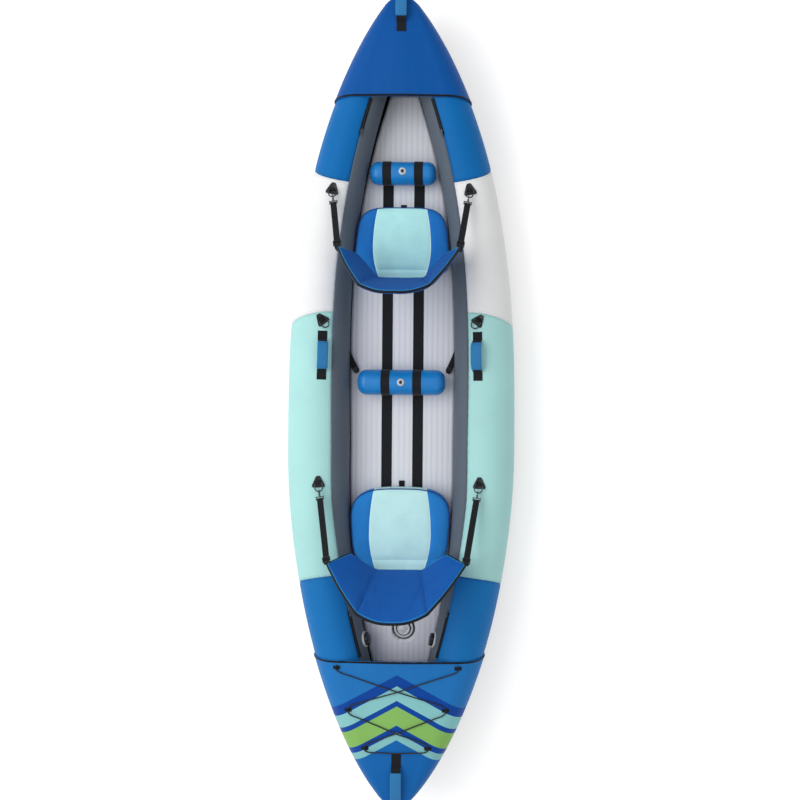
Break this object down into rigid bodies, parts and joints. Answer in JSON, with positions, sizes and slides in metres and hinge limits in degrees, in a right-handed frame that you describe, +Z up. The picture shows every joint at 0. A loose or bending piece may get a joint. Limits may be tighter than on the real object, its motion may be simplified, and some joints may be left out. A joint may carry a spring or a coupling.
{
  "type": "tandem kayak",
  "caption": "Open inflatable kayak for two paddlers with folding seats, sliding footrests, bow and stern decks, carry handles and a laced deck cord.",
  "frame": {"origin": "middle of the overall box, on the ground plane", "axes": "+Y to the bow along the length, +Z up, +X to starboard"},
  "size_m": [0.939, 3.3, 0.5931],
  "materials": {
    "hull_skin": "embossed coated cloth",
    "air_bladder": "smooth vinyl",
    "blue_cover": "coated nylon",
    "white_cover": "coated nylon",
    "mint_cover": "coated nylon",
    "grey_wall": "coated nylon",
    "floor_vinyl": "ribbed vinyl",
    "bow_deck_cloth": "coated nylon",
    "stern_deck_cloth": "coated nylon, printed bands",
    "black_webbing": "woven",
    "footrest_vinyl": "satin vinyl",
    "seat_cloth": "padded cloth",
    "seat_back_cloth": "padded cloth",
    "black_plastic": "moulded",
    "clear_plastic": "moulded",
    "ring_steel": "dark coated",
    "sleeve_foam": "soft foam sleeve",
    "elastic_cord": "braided"
  },
  "bodies": {
    "hull": {"hull_bottom": "hull_skin", "port_air_chamber": "air_bladder", "starboard_air_chamber": "air_bladder", "port_bow_panel": "blue_cover", "starboard_bow_panel": "blue_cover", "port_fore_panel": "white_cover", "starboard_fore_panel": "white_cover", "port_mid_panel": "mint_cover", "starboard_mid_panel": "mint_cover", "port_stern_panel": "blue_cover", "starboard_stern_panel": "blue_cover", "port_inner_panel": "grey_wall", "starboard_inner_panel": "grey_wall", "air_floor": "floor_vinyl", "bow_deck": "bow_deck_cloth", "stern_deck": "stern_deck_cloth", "deck_bindings": "black_webbing", "bow_nose_cap": "bow_deck_cloth", "stern_nose_cap": "stern_deck_cloth", "floor_webbing": "black_webbing", "front_seat_base": "seat_cloth", "rear_seat_base": "seat_cloth", "seat_hinge_seams": "black_webbing", "front_port_strap": "black_webbing", "front_starboard_strap": "black_webbing", "rear_port_strap": "black_webbing", "rear_starboard_strap": "black_webbing", "snap_hooks": "black_plastic", "seat_tabs": "black_webbing", "ring_patches": "black_plastic", "strap_rings": "ring_steel", "handle_webbing": "black_webbing", "handle_sleeves": "sleeve_foam", "valve_bodies": "black_plastic", "zip_tapes": "black_webbing", "deck_cord": "elastic_cord", "cord_loops": "black_webbing", "wall_buckles": "black_plastic"},
    "front_seat_back": {"front_seat_back": "seat_back_cloth", "front_strap_buckles": "black_plastic"},
    "rear_seat_back": {"rear_seat_back": "seat_back_cloth", "rear_strap_buckles": "black_plastic"},
    "front_footrest": {"front_footrest": "footrest_vinyl", "front_footrest_loops": "black_webbing"},
    "mid_footrest": {"mid_footrest": "footrest_vinyl", "mid_footrest_loops": "black_webbing"},
    "front_footrest_plug": {"front_footrest_plug": "clear_plastic"},
    "mid_footrest_plug": {"mid_footrest_plug": "clear_plastic"},
    "port_spare_ring": {"port_spare_ring": "ring_steel"},
    "starboard_spare_ring": {"starboard_spare_ring": "ring_steel"},
    "port_valve_cap": {"port_valve_cap": "black_plastic"},
    "starboard_valve_cap": {"starboard_valve_cap": "black_plastic"},
    "floor_valve_cap": {"floor_valve_cap": "clear_plastic"},
    "port_bow_slider": {"port_bow_slider": "black_plastic"},
    "starboard_bow_slider": {"starboard_bow_slider": "black_plastic"},
    "port_stern_slider": {"port_stern_slider": "black_plastic"},
    "starboard_stern_slider": {"starboard_stern_slider": "black_plastic"}
  },
  "joints": [
    {"name": "front_seat_back_fold", "type": "hinge", "parent": "hull", "child": "front_seat_back", "pos_m": [0, 0.506, 0.1894], "axis": [1, 0, 0], "range_deg": [-30, 25], "deforming": ["front_port_strap", "front_starboard_strap"]},
    {"name": "rear_seat_back_fold", "type": "hinge", "parent": "hull", "child": "rear_seat_back", "pos_m": [0, -0.69, 0.1894], "axis": [1, 0, 0], "range_deg": [-40, 25], "deforming": ["rear_port_strap", "rear_starboard_strap"]},
    {"name": "front_footrest_slide", "type": "slide", "parent": "hull", "child": "front_footrest", "axis": [0, 1, 0], "range_m": [-0.075, 0.033]},
    {"name": "mid_footrest_slide", "type": "slide", "parent": "hull", "child": "mid_footrest", "axis": [0, 1, 0], "range_m": [-0.31, 0.32]},
    {"name": "front_footrest_plug_pull", "type": "slide", "parent": "front_footrest", "child": "front_footrest_plug", "axis": [0, 0, 1], "range_m": [0, 0.006]},
    {"name": "mid_footrest_plug_pull", "type": "slide", "parent": "mid_footrest", "child": "mid_footrest_plug", "axis": [0, 0, 1], "range_m": [0, 0.006]},
    {"name": "starboard_spare_ring_swing", "type": "hinge", "parent": "hull", "child": "starboard_spare_ring", "pos_m": [0.31245, 0.33206, 0.26475], "axis": [-0.7793, 0.6068, -0.1567], "range_deg": [0, 165]},
    {"name": "port_spare_ring_swing", "type": "hinge", "parent": "hull", "child": "port_spare_ring", "pos_m": [-0.31245, 0.33206, 0.26475], "axis": [-0.7793, -0.6068, 0.1567], "range_deg": [0, 165]},
    {"name": "starboard_valve_cap_turn", "type": "hinge", "parent": "hull", "child": "starboard_valve_cap", "pos_m": [0.14524, -0.983, 0.16156], "axis": [-0.9669, 0.2164, 0.1349], "range_deg": [0, 90]},
    {"name": "port_valve_cap_turn", "type": "hinge", "parent": "hull", "child": "port_valve_cap", "pos_m": [-0.14524, -0.983, 0.16156], "axis": [0.9669, 0.2164, 0.1349], "range_deg": [0, 90]},
    {"name": "floor_valve_cap_turn", "type": "hinge", "parent": "hull", "child": "floor_valve_cap", "pos_m": [0.012, -0.954, 0.081], "axis": [0, 0, 1], "range_deg": [0, 90]},
    {"name": "starboard_bow_slider_run", "type": "slide", "parent": "hull", "child": "starboard_bow_slider", "axis": [-0.2886, 0.9538, 0.0834], "range_m": [0, 0.121]},
    {"name": "port_bow_slider_run", "type": "slide", "parent": "hull", "child": "port_bow_slider", "axis": [0.2886, 0.9538, 0.0834], "range_m": [0, 0.121]},
    {"name": "starboard_stern_slider_run", "type": "slide", "parent": "hull", "child": "starboard_stern_slider", "axis": [-0.2409, -0.9705, -0.0088], "range_m": [0, 0.168]},
    {"name": "port_stern_slider_run", "type": "slide", "parent": "hull", "child": "port_stern_slider", "axis": [0.2409, -0.9705, -0.0088], "range_m": [0, 0.168]}
  ]
}
